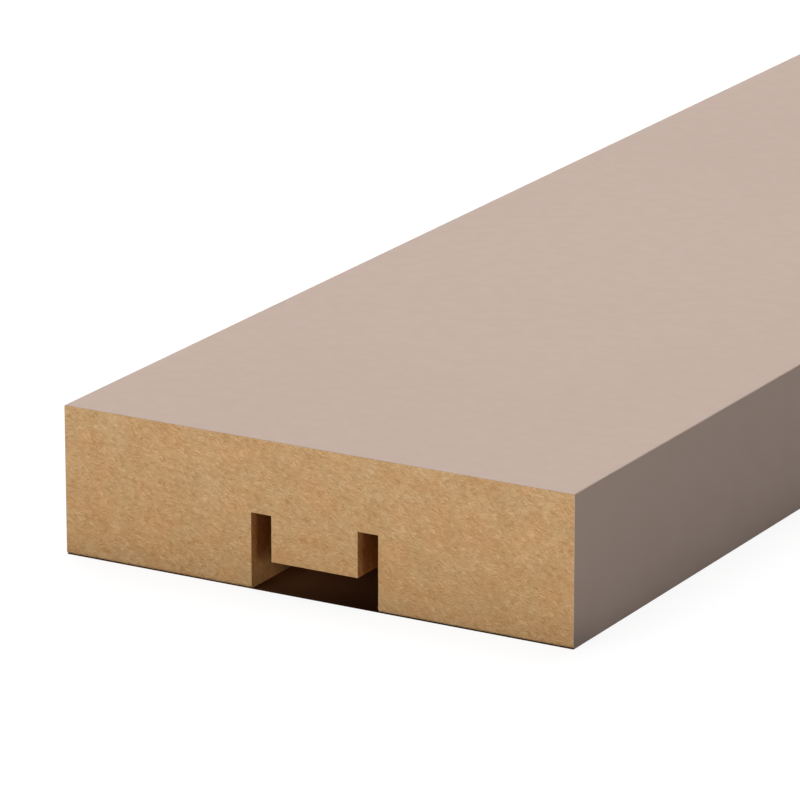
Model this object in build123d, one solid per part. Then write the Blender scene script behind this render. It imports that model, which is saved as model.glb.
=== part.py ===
from build123d import *
import os

# Trim strip sawn and grooved from one length of fibreboard. It lies on its back,
# decorative face up. X runs across the width, Y along the length and Z up.
# The origin is the middle of the back, which is the face that goes to the wall.

# The stock, in millimetres
STRIP_LENGTH = 2400.0
STRIP_WIDTH = 70.0
BOARD_THICKNESS = 19.0

# The long edges of the decorative face are eased by this radius
FACE_EDGE_RADIUS = 0.15

# The clip groove in the back: two saw slots with a tongue left between them.
# The tongue is cut back from the wall so that a clip's plate fits in front of it.
SLOT_WIDTH = 2.8
SLOT_DEPTH = 9.6
TONGUE_WIDTH = 11.9
TONGUE_RECESS = 3.8

groove_width = TONGUE_WIDTH + 2 * SLOT_WIDTH
slot_offset = (TONGUE_WIDTH + SLOT_WIDTH) / 2
from_back = (Align.CENTER, Align.MIN)


def strip_section():
    """The strip's cross section, drawn on its end with the back along the X axis."""
    with BuildSketch(Plane.XZ) as section:
        Rectangle(STRIP_WIDTH, BOARD_THICKNESS, align=from_back)
        face_corners = section.vertices().group_by(Axis.Y)[-1]
        fillet(face_corners, FACE_EDGE_RADIUS)
        Rectangle(groove_width, TONGUE_RECESS, align=from_back, mode=Mode.SUBTRACT)
        with Locations((-slot_offset, 0), (slot_offset, 0)):
            Rectangle(SLOT_WIDTH, SLOT_DEPTH, align=from_back, mode=Mode.SUBTRACT)
    return section.sketch


trim_strip = extrude(strip_section(), amount=STRIP_LENGTH / 2, both=True)

os.makedirs("parts", exist_ok=True)
export_step(trim_strip, "parts/trim_strip.step")
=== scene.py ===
"""A coated fibreboard trim strip with a clip groove in its back, on a plain white studio floor."""
import math

import bpy
import numpy as np
from bpy.props import FloatProperty, FloatVectorProperty, IntProperty, PointerProperty
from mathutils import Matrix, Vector


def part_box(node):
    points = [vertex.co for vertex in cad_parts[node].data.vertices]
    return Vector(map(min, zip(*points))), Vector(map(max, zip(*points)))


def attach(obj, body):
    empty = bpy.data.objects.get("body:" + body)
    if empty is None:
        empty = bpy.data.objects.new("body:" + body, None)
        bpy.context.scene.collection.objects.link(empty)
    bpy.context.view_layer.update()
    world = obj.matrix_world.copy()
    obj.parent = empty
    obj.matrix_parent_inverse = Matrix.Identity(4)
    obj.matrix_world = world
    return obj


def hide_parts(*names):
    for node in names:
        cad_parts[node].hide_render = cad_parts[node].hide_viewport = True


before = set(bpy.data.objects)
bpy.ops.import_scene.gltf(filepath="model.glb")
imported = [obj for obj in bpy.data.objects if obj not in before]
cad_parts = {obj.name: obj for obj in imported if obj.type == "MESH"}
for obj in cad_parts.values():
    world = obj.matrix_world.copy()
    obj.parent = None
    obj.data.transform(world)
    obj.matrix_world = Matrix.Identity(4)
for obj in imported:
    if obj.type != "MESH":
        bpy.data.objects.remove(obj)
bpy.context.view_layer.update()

bl_info = {
    "name": "Trim Strip",
    "version": (1, 0, 0),
    "blender": (4, 5, 0),
    "location": "View3D > Sidebar > Trim Strip",
    "description": "Builds a coated fibreboard trim strip with a clip groove, and a studio for it",
    "category": "Add Mesh",
}

NODE = "trim_strip"
BODY = "root"
MM = 0.001
WHITE = (1.0, 1.0, 1.0)
NODE_LOW, NODE_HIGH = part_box(NODE)
NODE_SIZE = NODE_HIGH - NODE_LOW

# UV maps: real distances over the surface in metres, and a layout to bake the materials into
SURFACE_MAP = "surface_metres"
BAKE_MAP = "OFBake"

# Gap round the parts of the bake layout, as a share of its side
BAKE_GAP = 0.012

# Widths by which the rear end's pattern is set aside, so that the two ends differ
REAR_WIDTHS = 4

# Material slots of the strip's mesh, in order
COAT, SAWN, GROOVE, BACK = range(4)

# Rows of the end's grid in the round of its foot, and the turn from which an edge is a crease
FOOT_STEPS = 6
CREASE_ANGLE = math.radians(50)

# Part of a step by which a stretch may be longer than a whole number of steps
STEP_SLACK = 1e-6

# Depth that one standard deviation of the fibre relief takes up, out of 1
RELIEF_SPREAD = 0.2

# Reach of the wear along the groove's arrises, in cells of the grid, and its share on the lowest fibres
WEAR_REACH = 0.6
WEAR_LEAST = 0.4

# Fibre layers: degrees from the width, fibre length and width in millimetres, and share of the tone
FIBRE_LAYERS = (
    (-38, 1.50, 0.30, 1.0),
    (-22, 1.10, 0.24, 0.9),
    (-6, 1.70, 0.26, 0.9),
    (9, 1.00, 0.30, 0.8),
    (24, 1.40, 0.24, 0.7),
    (-60, 1.20, 0.26, 0.6),
    (47, 0.95, 0.28, 0.6),
    (85, 0.90, 0.26, 0.4),
    (-15, 2.60, 0.90, 0.5),
)

# Millimetres by which the pattern of each layer is set aside from the one before
LAYER_SHIFT = (17.3, 5.1)

# Distances from the middle of a cell at which a fibre or a fleck begins, and at which it is full
FIBRE_FADE = (0.46, 0.08)
FLECK_FADE = (0.22, 0.06)

# Flecks: degrees from the width, length and width in millimetres, and the random numbers that make one
FLECK_TURN = -25
FLECK_LENGTH = 1.7
FLECK_WIDTH = 0.9
FLECK_CHANCE = (0.6, 0.8)

# Waves per millimetre of the bend in the fibres, of the grain between them and of the mottling
BEND_WAVES = 0.5
GRAIN_WAVES = 5.0
MOTTLE_WAVES = 0.3

# Millimetres that the bend reaches, and shares of the grain, the mottling and the flecks in the tone
BEND_REACH = 0.8
GRAIN_SHARE = 1.15
MOTTLE_SHARE = 0.5
FLECK_SHARE = -0.3

# The range that noise mostly stays in, its middle, and the range of the tone of the fibres
NOISE_RANGE = (0.3, 0.7)
NOISE_MIDDLE = 0.5
TONE_RANGE = (-1.0, 1.0)

# Place of the plain body colour between the darkest and the palest fibres
PLAIN_TONE = 0.5

# The palest and the darkest fibres, and the warm and cool drift of the board, against its body colour
PALE_FIBRE = (1.20, 1.33, 1.55)
DARK_FIBRE = (0.81, 0.73, 0.60)
WARM_DRIFT = (1.015, 0.985, 0.96)
COOL_DRIFT = (0.985, 1.015, 1.04)

# Roughness of the bare board's darkest and palest fibres, its gloss and the strength of its bump
BOARD_ROUGHNESS = (0.92, 0.80)
BOARD_GLOSS = 0.2
BOARD_BUMP = 0.6

# Fibre size, contrast and depth of bump on the sawn ends, in the groove and on the back
END_FIBRES = (1.0, 0.74, 0.03 * MM)
GROOVE_FIBRES = (1.6, 0.60, 0.02 * MM)
BACK_FIBRES = (1.6, 0.50, 0.01 * MM)

# Heights between which the ends turn paler, as painted shade that is darkest and warmest at the foot,
# and between which the groove turns darker inwards, as painted shade deep in the slots
END_SHADE_RISE = (0.0 * MM, 18.0 * MM)
GROOVE_SHADE_RISE = (2.0 * MM, 6.5 * MM)

# Waves per metre of the coat's slow drift, of its sprayed tooth and of its orange peel
COAT_DRIFT_WAVES = 14.0
COAT_TOOTH_WAVES = 3200.0
COAT_PEEL_WAVES = 420.0

# Tint over the coat's drift, what the tooth adds to it, and the height of the peel against the tooth's
COAT_TINT = (0.975, 1.015)
COAT_TOOTH_TINT = 0.02
COAT_PEEL_HEIGHT = 2.0

# Roughness over the coat's peel, its gloss, and the strength and depth of its bump
COAT_ROUGHNESS = (0.52, 0.60)
COAT_GLOSS = 0.12
COAT_BUMP = 0.25
COAT_DEPTH = 0.004 * MM

# Half the floor's width, and how far it lies below the strip
FLOOR_HALF = 30.0
FLOOR_DROP = 0.02 * MM

# What is seen of the floor: a glow of its own, and a grey that takes the shadow
FLOOR_GLOW = 0.89
FLOOR_SHADE = (0.16, 0.16, 0.16)

# Floor under the strip, a dark brown painted shade: its colour, and its painted light, falling from left
# to right and from deep inside to the end
UNDER_SHADE_COLOUR = (0.106, 0.044, 0.019)
UNDER_SHADE_ACROSS = (-10 * MM, 10 * MM, 1.9, 0.5)
UNDER_SHADE_ALONG = (-12 * MM, -1 * MM, 1.9, 0.48)

# The camera's sensor in millimetres, and the nearest and farthest distance that it shows
SENSOR_WIDTH = 36.0
CLIP_START = 0.01
CLIP_END = 200.0


class StripSizes(bpy.types.PropertyGroup):
    """Sizes of the strip, in metres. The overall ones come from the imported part."""

    length: FloatProperty(
        name="Length", description="Along the strip",
        default=NODE_SIZE.y, unit="LENGTH",
    )
    width: FloatProperty(
        name="Width", description="Across the face",
        default=NODE_SIZE.x, unit="LENGTH",
    )
    thickness: FloatProperty(
        name="Thickness", description="From back to face",
        default=NODE_SIZE.z, unit="LENGTH",
    )
    edge_radius: FloatProperty(
        name="Edge radius", description="Easing of the face's two long edges",
        default=0.15 * MM, unit="LENGTH",
    )
    slot_width: FloatProperty(
        name="Slot width", description="Width of each saw slot",
        default=2.8 * MM, unit="LENGTH",
    )
    slot_depth: FloatProperty(
        name="Slot depth", description="Depth of the slots from the back",
        default=9.6 * MM, unit="LENGTH",
    )
    tongue_width: FloatProperty(
        name="Tongue width", description="Width of the tongue between the slots",
        default=11.9 * MM, unit="LENGTH",
    )
    tongue_recess: FloatProperty(
        name="Tongue recess", description="How far the tongue stands back",
        default=3.8 * MM, unit="LENGTH",
    )
    coat_thickness: FloatProperty(
        name="Coat thickness", description="Edge of the coat seen on a sawn end",
        default=0.05 * MM, unit="LENGTH",
    )
    end_cell: FloatProperty(
        name="End cell", description="Widest cell of the grid over a sawn end",
        default=0.25 * MM, unit="LENGTH",
    )
    fibre_relief: FloatProperty(
        name="Fibre relief", description="Depth of the fibres on a sawn end",
        default=0.035 * MM, unit="LENGTH",
    )
    arris_wear: FloatProperty(
        name="Arris wear", description="How far the groove's edges on a sawn end are rubbed back",
        default=0.06 * MM, unit="LENGTH",
    )
    foot_easing: FloatProperty(
        name="Foot easing", description="Radius of the rubbed lower edge of a sawn end",
        default=0.4 * MM, unit="LENGTH",
    )
    seed: IntProperty(name="Seed", description="Picks another relief of fibres", default=7)


class StripFinish(bpy.types.PropertyGroup):
    """Colours of the coat and of the bare board."""

    coat: FloatVectorProperty(
        name="Coat", description="Matt taupe coat on the face and sides",
        default=(0.466, 0.356, 0.296), subtype="COLOR", min=0, max=1,
    )
    # Painted shade: with this colour the sawn ends are darker and browner near the back, towards the
    # floor
    sawn_foot_shade: FloatVectorProperty(
        name="Sawn foot", description="Denser and browner fibreboard on the sawn ends, near the back",
        default=(0.551, 0.322, 0.142), subtype="COLOR", min=0, max=1,
    )
    sawn_end: FloatVectorProperty(
        name="Sawn end", description="Bare fibreboard on the sawn ends near the face",
        default=(0.586, 0.355, 0.167), subtype="COLOR", min=0, max=1,
    )
    groove_mouth: FloatVectorProperty(
        name="Groove mouth", description="Bare fibreboard at the mouth of the groove",
        default=(0.560, 0.285, 0.100), subtype="COLOR", min=0, max=1,
    )
    # Painted shade: this colour makes the slots darker and browner deeper in, where shade falls
    groove: FloatVectorProperty(
        name="Groove", description="Bare fibreboard deep in the slots, browned by the saw",
        default=(0.400, 0.171, 0.048), subtype="COLOR", min=0, max=1,
    )
    back: FloatVectorProperty(
        name="Back", description="Sanded bare fibreboard on the back",
        default=(0.560, 0.345, 0.170), subtype="COLOR", min=0, max=1,
    )


class Studio(bpy.types.PropertyGroup):
    """Light, floor and camera."""

    key_strength: FloatProperty(
        name="Key strength", description="Soft light from above, a little behind on the left",
        default=2.72, min=0,
    )
    key_from: FloatVectorProperty(
        name="Key from", description="Direction that the key light comes from",
        default=(-0.24, 0.40, 0.84), subtype="DIRECTION",
    )
    key_softness: FloatProperty(
        name="Key softness", description="Angle that the key light is spread over",
        default=math.radians(50), subtype="ANGLE",
    )
    fill_strength: FloatProperty(
        name="Fill strength", description="Weak low light from the right",
        default=0.43, min=0,
    )
    fill_from: FloatVectorProperty(
        name="Fill from", description="Direction that the fill light comes from",
        default=(0.92, -0.38, 0.12), subtype="DIRECTION",
    )
    fill_softness: FloatProperty(
        name="Fill softness", description="Angle that the fill light is spread over",
        default=math.radians(15), subtype="ANGLE",
    )
    dome_level: FloatProperty(
        name="Dome level", description="Even light from all round",
        default=0.03, min=0,
    )
    front_level: FloatProperty(
        name="Front level", description="Extra light of the dome at the front left",
        default=4.08, min=0,
    )
    front_from: FloatVectorProperty(
        name="Front from", description="Direction in which the dome is brightest",
        default=(-0.50, -0.85, 0.15), subtype="DIRECTION",
    )
    front_narrowness: FloatProperty(
        name="Front narrowness", description="Power of the fall from the dome's brightest place",
        default=6.0, min=0.5,
    )
    floor_grey: FloatProperty(
        name="Floor grey", description="How much light the floor sends back",
        default=0.50, min=0, max=1,
    )
    contact_reach: FloatProperty(
        name="Contact reach", description="How far the floor's contact shade reaches from the ends",
        default=8 * MM, unit="LENGTH",
    )
    azimuth: FloatProperty(
        name="Azimuth", description="Camera's turn to the right of the sawn end",
        default=math.radians(29.697), subtype="ANGLE",
    )
    elevation: FloatProperty(
        name="Elevation", description="Camera's height above the horizon",
        default=math.radians(17.294), subtype="ANGLE",
    )
    distance: FloatProperty(
        name="Distance", description="Camera to the point it looks at",
        default=0.69192, unit="LENGTH",
    )
    aim_across: FloatProperty(
        name="Aim across", description="Point looked at, to the right of the strip's middle",
        default=11.75 * MM, unit="LENGTH",
    )
    aim_up: FloatProperty(
        name="Aim up", description="Point looked at, above the floor",
        default=26.82 * MM, unit="LENGTH",
    )
    focal_length: FloatProperty(
        name="Focal length", description="Lens of the camera",
        default=266.44, unit="CAMERA",
    )


class TrimStripSettings(bpy.types.PropertyGroup):
    """All settings of the add-on."""

    sizes: PointerProperty(type=StripSizes)
    finish: PointerProperty(type=StripFinish)
    studio: PointerProperty(type=Studio)


def spaced(breaks, pitch):
    """Values from the first break to the last, in even steps that are no longer than the pitch."""
    stretches = zip(breaks[:-1], breaks[1:])
    runs = [np.linspace(a, b, math.ceil((b - a) / pitch - STEP_SLACK) + 1)[:-1] for a, b in stretches]
    return np.concatenate(runs + [breaks[-1:]])


def nearest(values, wanted):
    """Number of the value that lies nearest to the wanted one."""
    return int(np.argmin(np.abs(values - wanted)))


def box_distance(x, z, centre, half_width, depth):
    """Distance to a rectangle that stands on z = 0: the length of what is outside on each axis."""
    return np.hypot(np.maximum(np.abs(x - centre) - half_width, 0), np.maximum(z - depth, 0))


def fibre_heights(shape, cell, rng):
    """Relief from 0 to 1 over a grid.

    White noise is blurred by a long thin bell for each fibre direction, and the layers are added up.
    """
    up, across = np.meshgrid(*(np.fft.fftfreq(count, cell) for count in shape), indexing="ij")
    total = np.zeros(shape)
    for degrees, length, width, share in FIBRE_LAYERS:
        turn = math.radians(degrees)
        along = across * math.cos(turn) + up * math.sin(turn)
        aside = up * math.cos(turn) - across * math.sin(turn)
        spread = (along * length * MM) ** 2 + (aside * width * MM) ** 2
        blurred = np.fft.fft2(rng.standard_normal(shape)) * np.exp(-spread)
        layer = np.fft.ifft2(blurred).real
        total += share * layer / layer.std()
    return np.clip(0.5 + RELIEF_SPREAD * total / total.std(), 0, 1)


class Section:
    """The strip's cross section as a grid of points over its end, without the cells of the groove."""

    def __init__(self, sizes):
        """Lays grid lines through all edges of the section, and marks its solid and its coated cells."""
        half, thickness, cell = sizes.width / 2, sizes.thickness, sizes.end_cell
        coat, radius, foot = sizes.coat_thickness, sizes.edge_radius, sizes.foot_easing
        tongue = sizes.tongue_width / 2
        groove = tongue + sizes.slot_width
        right = np.array([tongue, groove, half - radius, half - coat, half])
        upward = np.array([foot, sizes.tongue_recess, sizes.slot_depth, thickness - coat, thickness])
        if min(np.diff(right).min(), np.diff(upward).min()) <= 0:
            raise ValueError("The groove, the coat and the eased edges do not fit in the strip")
        self.sizes, self.tongue, self.groove = sizes, tongue, groove
        across = spaced(np.concatenate([-right[::-1], right]), cell)
        foot_rows = foot * (1 - np.cos(np.linspace(0, math.pi / 2, FOOT_STEPS + 1)[:-1]))
        self.xs = self.finer_corners(across, half - radius)
        self.zs = np.concatenate([foot_rows, spaced(upward, cell)])
        self.x, self.z = np.meshgrid(self.xs, self.zs)
        self.z = self.z * self.top_of(self.xs) / thickness
        middle_x, middle_z = np.meshgrid(
            (self.xs[1:] + self.xs[:-1]) / 2, (self.zs[1:] + self.zs[:-1]) / 2
        )
        aside = np.abs(middle_x)
        in_mouth = (aside < groove) & (middle_z < sizes.tongue_recess)
        in_slot = (aside < groove) & (aside > tongue) & (middle_z < sizes.slot_depth)
        self.solid = ~(in_mouth | in_slot)
        self.in_coat = (aside > half - coat) | (middle_z > thickness - coat)

    @staticmethod
    def finer_corners(xs, start):
        """Adds the middle of each step beyond start, so that the eased edges come out round."""
        middles = (xs[1:] + xs[:-1]) / 2
        return np.sort(np.concatenate([xs, middles[np.abs(middles) > start]]))

    def top_of(self, x):
        """Height of the face over x: flat, and a quarter circle at each long edge."""
        radius = self.sizes.edge_radius
        over = np.maximum(np.abs(x) - (self.sizes.width / 2 - radius), 0)
        return self.sizes.thickness - radius + np.sqrt(np.maximum(radius**2 - over**2, 0))

    def cells(self):
        """Corner numbers of the solid cells, anticlockwise as seen from the front."""
        wide = len(self.xs)
        first = np.arange(self.x.size).reshape(self.x.shape)[:-1, :-1][self.solid]
        return np.stack([first, first + 1, first + 1 + wide, first + wide], 1)

    def outline(self):
        """Point numbers round the section, anticlockwise from the front, and the finish of each step."""
        number = np.arange(self.x.size).reshape(self.x.shape)
        edges = (-self.groove, -self.tongue, self.tongue, self.groove)
        left, tongue_left, tongue_right, right = (nearest(self.xs, x) for x in edges)
        recess = nearest(self.zs, self.sizes.tongue_recess)
        deep = nearest(self.zs, self.sizes.slot_depth)
        last, top = len(self.xs) - 1, len(self.zs) - 1
        turns = (
            (0, 0), (left, 0), (left, deep), (tongue_left, deep), (tongue_left, recess),
            (tongue_right, recess), (tongue_right, deep), (right, deep), (right, 0),
            (last, 0), (last, top), (0, top), (0, 0),
        )
        groove_runs = [GROOVE] * 7
        finishes = (BACK, *groove_runs, BACK, COAT, COAT, COAT)
        runs = [self.run(number, start, end) for start, end in zip(turns[:-1], turns[1:])]
        finish = np.concatenate([np.full(len(run), slot) for run, slot in zip(runs, finishes)])
        return np.concatenate(runs), finish

    @staticmethod
    def run(number, start, end):
        """Point numbers along one grid line from start up to, but not including, end."""
        steps = max(abs(b - a) for a, b in zip(start, end))
        columns, rows = (
            np.linspace(a, b, steps + 1).round().astype(int)[:-1] for a, b in zip(start, end)
        )
        return number[rows, columns]

    def sunk(self, rng):
        """How far each point of a sawn end lies behind its plane.

        This is the fibre relief and a bell of wear along the groove's arrises, both fading out at the
        coat, and a quarter circle at the foot.
        """
        sizes = self.sizes
        heights = fibre_heights(self.x.shape, sizes.end_cell, rng)
        slot_middle = (self.groove + self.tongue) / 2
        to_arris = np.minimum.reduce([
            box_distance(self.x, self.z, 0, self.groove, sizes.tongue_recess),
            box_distance(self.x, self.z, -slot_middle, sizes.slot_width / 2, sizes.slot_depth),
            box_distance(self.x, self.z, slot_middle, sizes.slot_width / 2, sizes.slot_depth),
        ])
        bell = np.exp(-((to_arris / (WEAR_REACH * sizes.end_cell)) ** 2))
        wear = sizes.arris_wear * bell * (WEAR_LEAST + (1 - WEAR_LEAST) * heights)
        to_edge = np.minimum(sizes.width / 2 - np.abs(self.x), self.top_of(self.x) - self.z)
        bare = np.clip((to_edge - sizes.coat_thickness) / sizes.end_cell, 0, 1)
        below = np.maximum(sizes.foot_easing - self.z, 0)
        foot = sizes.foot_easing - np.sqrt(sizes.foot_easing**2 - below**2)
        return bare * (sizes.fibre_relief * (1 - heights) + wear) + foot


def strip_mesh(sizes):
    """The whole strip as one closed mesh: the section's grid at both ends, joined along its outline."""
    section = Section(sizes)
    rng = np.random.default_rng(sizes.seed)
    half = sizes.length / 2
    count = section.x.size
    ends = [
        np.stack([section.x.ravel(), side * (half - section.sunk(rng)).ravel(), section.z.ravel()], 1)
        for side in (-1, 1)
    ]
    cells = section.cells()
    loop, finish = section.outline()
    after = np.roll(loop, -1)
    walls = np.stack([loop, loop + count, after + count, after], 1)
    faces = np.concatenate([cells, cells[:, ::-1] + count, walls])
    end_slots = np.where(section.in_coat[section.solid], COAT, SAWN)
    slots = np.concatenate([end_slots, end_slots, finish])
    points = np.concatenate(ends)
    used, faces = np.unique(faces, return_inverse=True)
    faces = faces.reshape(-1, 4)

    mesh = bpy.data.meshes.new("trim_strip_board")
    mesh.from_pydata(points[used].tolist(), [], faces.tolist(), shade_flat=False)
    mesh.polygons.foreach_set("material_index", slots.astype(np.int32))
    surface, layout = strip_maps(section, cells, loop)
    for name, values in ((SURFACE_MAP, surface), (BAKE_MAP, layout)):
        mesh.uv_layers.new(name=name).data.foreach_set("uv", values.astype(np.float32).ravel())
    mesh.set_sharp_from_angle(angle=CREASE_ANGLE)
    mesh.validate()
    return mesh


def strip_maps(section, cells, loop):
    """The two UV maps, a pair of numbers for each face corner.

    Over an end they are the distances across and up, and over the walls the distances round the
    outline and along the strip. The layout stacks both ends over the unrolled walls in one square.
    """
    sizes = section.sizes
    flat = np.stack([section.x.ravel(), section.z.ravel()], 1)
    steps = np.roll(flat[loop], -1, 0) - flat[loop]
    reach = np.concatenate([[0], np.cumsum(np.hypot(*steps.T))])
    far = np.full(len(loop), sizes.length / 2)
    walls = np.stack([
        np.stack([reach[:-1], -far], 1), np.stack([reach[:-1], far], 1),
        np.stack([reach[1:], far], 1), np.stack([reach[1:], -far], 1),
    ], 1)
    front, rear = flat[cells], flat[cells[:, ::-1]]
    rear_shift = np.array([REAR_WIDTHS * sizes.width, 0])
    surface = np.concatenate([front, rear + rear_shift, walls])

    middle, inside = 0.5, 1 - 2 * BAKE_GAP
    scale = inside / sizes.width
    end_height = sizes.thickness * scale
    front_base = 1 - BAKE_GAP - end_height
    rear_base = front_base - end_height - 2 * BAKE_GAP
    wall_height = rear_base - 3 * BAKE_GAP
    wall_layout = np.stack([
        middle + walls[..., 1] * inside / sizes.length,
        BAKE_GAP + walls[..., 0] * wall_height / reach[-1],
    ], -1)
    layout = np.concatenate([
        front * scale + np.array([middle, front_base]),
        rear * scale + np.array([middle, rear_base]),
        wall_layout,
    ])
    return surface, layout


def add(tree, kind, inputs=None, **options):
    """Adds a node, sets its options, and gives each named input a value or a link."""
    made = tree.nodes.new(kind)
    for name, value in options.items():
        setattr(made, name, value)
    for key, value in (inputs or {}).items():
        if isinstance(value, bpy.types.NodeSocket):
            tree.links.new(value, made.inputs[key])
        else:
            made.inputs[key].default_value = value
    return made


def maths(tree, operation, a, b=0.0, c=0.0):
    """One step of arithmetic; returns its result."""
    return add(tree, "ShaderNodeMath", {0: a, 1: b, 2: c}, operation=operation).outputs[0]


def vectors(tree, operation, inputs):
    """One step of arithmetic on vectors or colours; returns its result."""
    return add(tree, "ShaderNodeVectorMath", inputs, operation=operation).outputs[0]


def ranged(tree, value, low, high, to_low=0.0, to_high=1.0):
    """A smooth step of a value from one range to another; returns its result."""
    inputs = {"Value": value, "From Min": low, "From Max": high, "To Min": to_low, "To Max": to_high}
    return add(tree, "ShaderNodeMapRange", inputs, interpolation_type="SMOOTHSTEP").outputs["Result"]


def noise(tree, point, waves, detail, roughness=0.5):
    """Noise with a number of waves to each unit; returns its outputs, the value first."""
    inputs = {"Vector": point, "Scale": waves, "Detail": detail, "Roughness": roughness}
    return add(tree, "ShaderNodeTexNoise", inputs).outputs


def opaque(colour):
    """A colour with full alpha, as colour sockets take it."""
    return (*colour, 1.0)


def mixed(tree, factor, first, second):
    """A mix of two colours by a factor; returns its result."""
    mix = add(tree, "ShaderNodeMix", {"Factor": factor}, data_type="RGBA")
    colours = [socket for socket in mix.inputs if socket.type == "RGBA"]
    colours[0].default_value = opaque(first)
    colours[1].default_value = opaque(second)
    return next(socket for socket in mix.outputs if socket.type == "RGBA")


def blended(tree, factor, first, second):
    """A mix of two shader nodes by a factor; returns the mixing node."""
    inputs = {"Fac": factor, 1: first.outputs[0], 2: second.outputs[0]}
    return add(tree, "ShaderNodeMixShader", inputs)


def new_material(name):
    """An empty node material; returns the material and its node tree."""
    material = bpy.data.materials.new(name)
    material.use_nodes = True
    material.node_tree.nodes.clear()
    return material, material.node_tree


def scattered(tree, point, degrees, length, width, shift=(0.0, 0.0)):
    """Random cells, stretched in one direction.

    Returns the distance from the middle of a cell, and three random numbers that each cell has.
    """
    turned = add(tree, "ShaderNodeMapping", {
        "Vector": point, "Location": (*shift, 0.0),
        "Rotation": (0.0, 0.0, math.radians(degrees)), "Scale": (length, width, 1.0),
    }, vector_type="TEXTURE").outputs["Vector"]
    inputs = {"Vector": turned, "Scale": 1.0}
    cells = add(tree, "ShaderNodeTexVoronoi", inputs, voronoi_dimensions="2D").outputs
    random = add(tree, "ShaderNodeSeparateColor", {"Color": cells["Color"]}).outputs
    return cells["Distance"], random


def fibre_group():
    """Node group for bare fibreboard.

    Each layer scatters long thin cells in its own direction, and every cell is a fibre with a random
    tone. The group puts out the tone of the fibres about 0, the height of the fibres, slow mottling
    about 0, a slow drift from 0 to 1 and dark flecks.
    """
    tree = bpy.data.node_groups.new("fibre_mat", "ShaderNodeTree")
    sockets = tree.interface
    sockets.new_socket("Surface", in_out="INPUT", socket_type="NodeSocketVector")
    size = sockets.new_socket("Fibre Size", in_out="INPUT", socket_type="NodeSocketFloat")
    size.default_value = 1.0
    for name in ("Tone", "Height", "Mottle", "Drift", "Flecks"):
        sockets.new_socket(name, in_out="OUTPUT", socket_type="NodeSocketFloat")
    given = add(tree, "NodeGroupInput").outputs
    in_mm = vectors(tree, "SCALE", {0: given["Surface"], "Scale": 1 / MM})
    sized = vectors(tree, "MULTIPLY", {0: in_mm, 1: maths(tree, "DIVIDE", 1.0, given["Fibre Size"])})
    bend = noise(tree, sized, BEND_WAVES, detail=1.0)["Color"]
    bend = vectors(tree, "SUBTRACT", {0: bend, 1: (NOISE_MIDDLE, NOISE_MIDDLE, NOISE_MIDDLE)})
    bent = vectors(tree, "MULTIPLY_ADD", {0: bend, 1: (BEND_REACH, BEND_REACH, 0.0), 2: sized})

    tone, height = 0.0, 0.0
    for number, (degrees, length, width, share) in enumerate(FIBRE_LAYERS):
        shift = [number * step for step in LAYER_SHIFT]
        distance, random = scattered(tree, bent, degrees, length, width, shift)
        fibre = ranged(tree, distance, *FIBRE_FADE)
        signed = maths(tree, "SUBTRACT", random[0], NOISE_MIDDLE)
        # Most fibres stay near the body colour, and few are very pale or very dark
        few = maths(tree, "MULTIPLY", maths(tree, "ABSOLUTE", signed), 2.0 * share)
        tone = maths(tree, "MULTIPLY_ADD", fibre, maths(tree, "MULTIPLY", signed, few), tone)
        tall = maths(tree, "MULTIPLY", random[1], share)
        height = maths(tree, "MULTIPLY_ADD", fibre, tall, height)
    grain = noise(tree, sized, GRAIN_WAVES, detail=2.0, roughness=0.6)[0]
    grain = maths(tree, "SUBTRACT", grain, NOISE_MIDDLE)
    slow = noise(tree, sized, MOTTLE_WAVES, detail=2.0)["Color"]
    slow = add(tree, "ShaderNodeSeparateColor", {"Color": slow}).outputs
    distance, random = scattered(tree, bent, FLECK_TURN, FLECK_LENGTH, FLECK_WIDTH)
    fleck = ranged(tree, distance, *FLECK_FADE)
    chance = ranged(tree, random[2], *FLECK_CHANCE)
    add(tree, "NodeGroupOutput", {
        "Tone": maths(tree, "MULTIPLY_ADD", grain, GRAIN_SHARE, tone),
        "Height": height,
        "Mottle": maths(tree, "SUBTRACT", slow[0], NOISE_MIDDLE),
        "Drift": ranged(tree, slow[1], *NOISE_RANGE),
        "Flecks": maths(tree, "MULTIPLY", fleck, chance),
    })
    return tree


def surface_shader(tree, colour, roughness, gloss, height, bump, depth):
    """Ends a material's tree with a bumped surface of the given colour, roughness and gloss."""
    bumped = add(tree, "ShaderNodeBump", {"Height": height, "Strength": bump, "Distance": depth})
    shader = add(tree, "ShaderNodeBsdfPrincipled", {
        "Base Color": colour, "Roughness": roughness,
        "Specular IOR Level": gloss, "Normal": bumped.outputs["Normal"],
    })
    add(tree, "ShaderNodeOutputMaterial", {"Surface": shader.outputs["BSDF"]})


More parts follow.
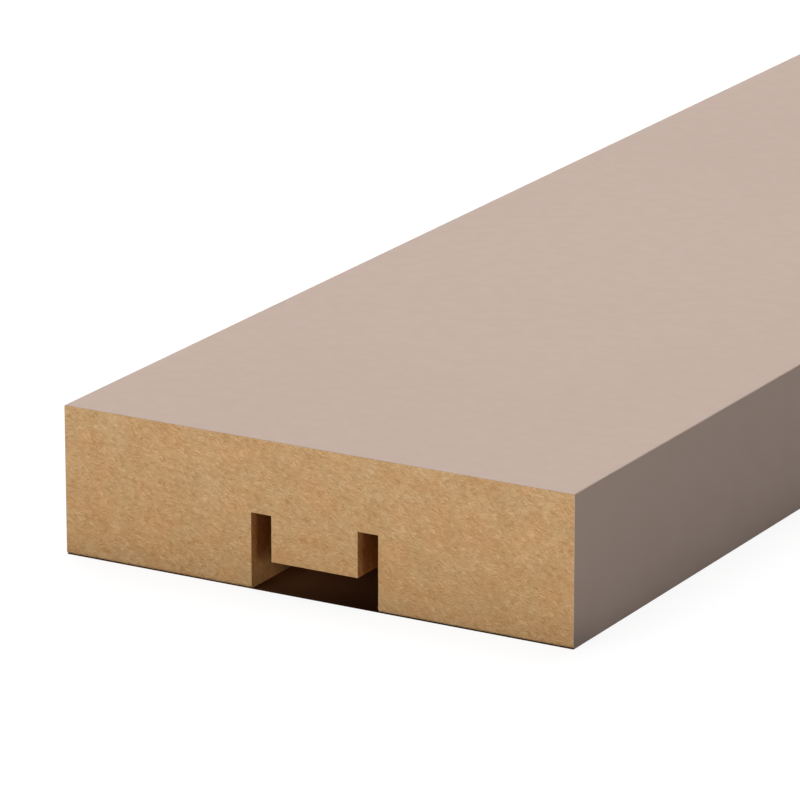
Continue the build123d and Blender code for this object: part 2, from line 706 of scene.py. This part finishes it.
def bare_board(name, group, fibres, body, upper=None, shade_rise=None):
    """Bare fibreboard: pale and dark fibres about the body colour, mottling, flecks and fuzzy relief.

    Where an upper colour is given, the body turns to it over the given heights, as painted shade.
    """
    fibre_size, contrast, depth = fibres
    material, tree = new_material(name)
    surface = add(tree, "ShaderNodeUVMap", uv_map=SURFACE_MAP).outputs["UV"]
    inputs = {"Surface": surface, "Fibre Size": fibre_size}
    pattern = add(tree, "ShaderNodeGroup", inputs, node_tree=group).outputs
    shade = maths(tree, "MULTIPLY_ADD", pattern["Tone"], contrast, PLAIN_TONE)
    shade = maths(tree, "MULTIPLY_ADD", pattern["Mottle"], MOTTLE_SHARE, shade)
    shade = maths(tree, "MULTIPLY_ADD", pattern["Flecks"], FLECK_SHARE, shade)
    ramp = add(tree, "ShaderNodeValToRGB", {"Fac": shade})
    stops = ramp.color_ramp.elements
    stops[0].color = opaque(DARK_FIBRE)
    stops[1].color = opaque(PALE_FIBRE)
    stops.new(PLAIN_TONE).color = opaque(WHITE)
    base = tuple(body)
    if upper is not None:
        point = add(tree, "ShaderNodeTexCoord").outputs["Object"]
        above = add(tree, "ShaderNodeSeparateXYZ", {"Vector": point}).outputs["Z"]
        # Painted shade: the body colour turns to the upper colour with height
        base = mixed(tree, ranged(tree, above, *shade_rise), body, upper)
    drift = mixed(tree, pattern["Drift"], WARM_DRIFT, COOL_DRIFT)
    tint = vectors(tree, "MULTIPLY", {0: ramp.outputs["Color"], 1: drift})
    colour = vectors(tree, "MULTIPLY", {0: base, 1: tint})
    roughness = ranged(tree, pattern["Tone"], *TONE_RANGE, *BOARD_ROUGHNESS)
    surface_shader(tree, colour, roughness, BOARD_GLOSS, pattern["Height"], BOARD_BUMP, depth)
    return material


def coat_finish(finish):
    """Matt taupe coat with a slow drift of its colour, a fine sprayed tooth and faint orange peel."""
    material, tree = new_material("taupe_coat")
    point = add(tree, "ShaderNodeTexCoord").outputs["Object"]
    drift = noise(tree, point, COAT_DRIFT_WAVES, detail=3.0)[0]
    tooth = noise(tree, point, COAT_TOOTH_WAVES, detail=2.0)[0]
    peel = noise(tree, point, COAT_PEEL_WAVES, detail=1.0)[0]
    tint = ranged(tree, drift, *NOISE_RANGE, *COAT_TINT)
    tint = maths(tree, "MULTIPLY_ADD", tooth, COAT_TOOTH_TINT, tint)
    colour = vectors(tree, "SCALE", {0: tuple(finish.coat), "Scale": tint})
    height = maths(tree, "MULTIPLY_ADD", peel, COAT_PEEL_HEIGHT, tooth)
    roughness = ranged(tree, peel, *NOISE_RANGE, *COAT_ROUGHNESS)
    surface_shader(tree, colour, roughness, COAT_GLOSS, height, COAT_BUMP, COAT_DEPTH)
    return material


class TRIM_OT_board(bpy.types.Operator):
    """Builds the grooved board with its coat, sawn ends and sanded back"""

    bl_idname = "trim_strip.board"
    bl_label = "Board"

    def execute(self, context):
        settings = context.scene.trim_strip
        finish = settings.finish
        board = bpy.data.objects.new("trim_strip_board", strip_mesh(settings.sizes))
        context.scene.collection.objects.link(board)
        group = fibre_group()
        for material in (
            coat_finish(finish),
            bare_board("sawn_end", group, END_FIBRES, finish.sawn_foot_shade, finish.sawn_end, END_SHADE_RISE),
            bare_board(
                "sawn_groove", group, GROOVE_FIBRES, finish.groove_mouth, finish.groove, GROOVE_SHADE_RISE
            ),
            bare_board("sanded_back", group, BACK_FIBRES, finish.back),
        ):
            board.data.materials.append(material)
        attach(board, BODY)
        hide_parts(NODE)
        return {"FINISHED"}


def seen_directly(tree):
    """1 for rays from the camera or off a glossy or clear surface, and 0 for rays that carry light."""
    path = add(tree, "ShaderNodeLightPath").outputs
    either = maths(tree, "MAXIMUM", path["Is Camera Ray"], path["Is Glossy Ray"])
    return maths(tree, "MAXIMUM", either, path["Is Transmission Ray"])


def floor_finish(sizes, studio):
    """White with the strip's shadow where it is seen, and grey for the light that it sends back.

    The grey gets darker close to the strip's ends, as painted contact shade. Under the strip the floor
    is dark brown, as painted shade, paler to the left and deeper inside as painted light.
    """
    material, tree = new_material("studio_floor")
    point = add(tree, "ShaderNodeTexCoord").outputs["Object"]
    parts = add(tree, "ShaderNodeSeparateXYZ", {"Vector": point}).outputs
    past_side = maths(tree, "SUBTRACT", maths(tree, "ABSOLUTE", parts["X"]), sizes.width / 2)
    past_end = maths(tree, "SUBTRACT", maths(tree, "ABSOLUTE", parts["Y"]), sizes.length / 2)
    # Painted contact shade: the grey that sends light back falls to black close to the strip's ends
    reach = studio.contact_reach
    near_side = ranged(tree, past_side, 0.0, reach, 1.0, 0.0)
    near_end = ranged(tree, maths(tree, "ABSOLUTE", past_end), 0.0, reach, 1.0, 0.0)
    shaded = maths(tree, "MULTIPLY", near_end, near_side)
    grey = maths(tree, "MULTIPLY_ADD", shaded, -studio.floor_grey, studio.floor_grey)
    sender = add(tree, "ShaderNodeBsdfDiffuse", {"Color": grey})
    shade = add(tree, "ShaderNodeBsdfDiffuse", {"Color": opaque(FLOOR_SHADE)})
    glow = add(tree, "ShaderNodeEmission", {"Strength": FLOOR_GLOW})
    white = add(tree, "ShaderNodeAddShader", {0: shade.outputs[0], 1: glow.outputs[0]})
    around = blended(tree, seen_directly(tree), sender, white)
    # Painted shade under the strip: a dark brown floor, with painted light paler to the left and deeper
    # inside
    across = ranged(tree, parts["X"], *UNDER_SHADE_ACROSS)
    along = ranged(tree, past_end, *UNDER_SHADE_ALONG)
    fall = maths(tree, "MULTIPLY", across, along)
    brown = vectors(tree, "MULTIPLY", {0: UNDER_SHADE_COLOUR, 1: fall})
    dark = add(tree, "ShaderNodeBsdfDiffuse", {"Color": brown})
    between_sides = maths(tree, "LESS_THAN", past_side, 0.0)
    between_ends = maths(tree, "LESS_THAN", past_end, 0.0)
    under = maths(tree, "MULTIPLY", between_sides, between_ends)
    surface = blended(tree, under, around, dark)
    add(tree, "ShaderNodeOutputMaterial", {"Surface": surface.outputs[0]})
    return material


def studio_floor(sizes, studio):
    """A wide flat floor just under the strip."""
    half = FLOOR_HALF
    square = ((-half, -half), (half, -half), (half, half), (-half, half))
    corners = [(x, y, -FLOOR_DROP) for x, y in square]
    mesh = bpy.data.meshes.new("studio_floor")
    mesh.from_pydata(corners, [], [(0, 1, 2, 3)])
    mesh.materials.append(floor_finish(sizes, studio))
    floor = bpy.data.objects.new("studio_floor", mesh)
    bpy.context.scene.collection.objects.link(floor)


def studio_dome(studio):
    """A soft dome of light, brightest at the front left; white where it is seen directly."""
    world = bpy.data.worlds.new("studio_dome")
    world.use_nodes = True
    tree = world.node_tree
    tree.nodes.clear()
    way = add(tree, "ShaderNodeTexCoord").outputs["Generated"]
    front = Vector(studio.front_from).normalized()
    inputs = {0: way, 1: tuple(front)}
    facing = add(tree, "ShaderNodeVectorMath", inputs, operation="DOT_PRODUCT").outputs["Value"]
    lobe = maths(tree, "POWER", maths(tree, "MAXIMUM", facing, 0.0), studio.front_narrowness)
    level = maths(tree, "MULTIPLY_ADD", lobe, studio.front_level, studio.dome_level)
    light = add(tree, "ShaderNodeBackground", {"Color": opaque(WHITE), "Strength": level})
    white = add(tree, "ShaderNodeBackground", {"Color": opaque(WHITE), "Strength": 1.0})
    both = blended(tree, seen_directly(tree), light, white)
    add(tree, "ShaderNodeOutputWorld", {"Surface": both.outputs[0]})
    bpy.context.scene.world = world


def studio_lamp(name, strength, direction, softness):
    """A lamp so far away that it lights everything from one direction, with soft shadow edges."""
    lamp = bpy.data.lights.new(name, "SUN")
    lamp.energy = strength
    lamp.angle = softness
    holder = bpy.data.objects.new(name, lamp)
    holder.rotation_mode = "QUATERNION"
    holder.rotation_quaternion = Vector(direction).to_track_quat("Z", "Y")
    bpy.context.scene.collection.objects.link(holder)


def studio_camera(sizes, studio):
    """The camera to the right of the near sawn end, looking down along the strip."""
    lens = bpy.data.cameras.new("camera")
    lens.lens = studio.focal_length
    lens.sensor_width = SENSOR_WIDTH
    lens.clip_start = CLIP_START
    lens.clip_end = CLIP_END
    camera = bpy.data.objects.new("camera", lens)
    level = math.cos(studio.elevation)
    back = Vector((
        math.sin(studio.azimuth) * level, -math.cos(studio.azimuth) * level, math.sin(studio.elevation)
    ))
    aim = Vector((studio.aim_across, -sizes.length / 2, studio.aim_up))
    camera.location = aim + back * studio.distance
    camera.rotation_mode = "QUATERNION"
    camera.rotation_quaternion = (-back).to_track_quat("-Z", "Y")
    bpy.context.scene.collection.objects.link(camera)
    bpy.context.scene.camera = camera


class TRIM_OT_stage(bpy.types.Operator):
    """Sets up the floor, the light and the camera"""

    bl_idname = "trim_strip.stage"
    bl_label = "Studio"

    def execute(self, context):
        sizes, studio = context.scene.trim_strip.sizes, context.scene.trim_strip.studio
        studio_floor(sizes, studio)
        studio_dome(studio)
        studio_lamp("key", studio.key_strength, studio.key_from, studio.key_softness)
        studio_lamp("fill", studio.fill_strength, studio.fill_from, studio.fill_softness)
        studio_camera(sizes, studio)
        context.scene.view_settings.view_transform = "Standard"
        return {"FINISHED"}


class TRIM_PT_panel(bpy.types.Panel):
    """Settings and steps of the trim strip"""

    bl_idname = "TRIM_PT_panel"
    bl_label = "Trim Strip"
    bl_space_type = "VIEW_3D"
    bl_region_type = "UI"
    bl_category = "Trim Strip"

    def draw(self, context):
        settings = context.scene.trim_strip
        for title, group, step in (
            ("Sizes", settings.sizes, TRIM_OT_board),
            ("Finish", settings.finish, None),
            ("Studio", settings.studio, TRIM_OT_stage),
        ):
            box = self.layout.box()
            box.label(text=title)
            for name in group.__annotations__:
                box.prop(group, name)
            if step:
                box.operator(step.bl_idname)


CLASSES = (
    StripSizes, StripFinish, Studio, TrimStripSettings, TRIM_OT_board, TRIM_OT_stage, TRIM_PT_panel
)


def register():
    """Adds the classes and the scene's settings."""
    for kind in CLASSES:
        bpy.utils.register_class(kind)
    bpy.types.Scene.trim_strip = PointerProperty(type=TrimStripSettings)


def unregister():
    """Takes the settings and classes away again."""
    del bpy.types.Scene.trim_strip
    for kind in reversed(CLASSES):
        bpy.utils.unregister_class(kind)


def main():
    """Builds the strip and its studio."""
    register()
    bpy.ops.trim_strip.board()
    bpy.ops.trim_strip.stage()


if __name__ == "__main__":
    main()
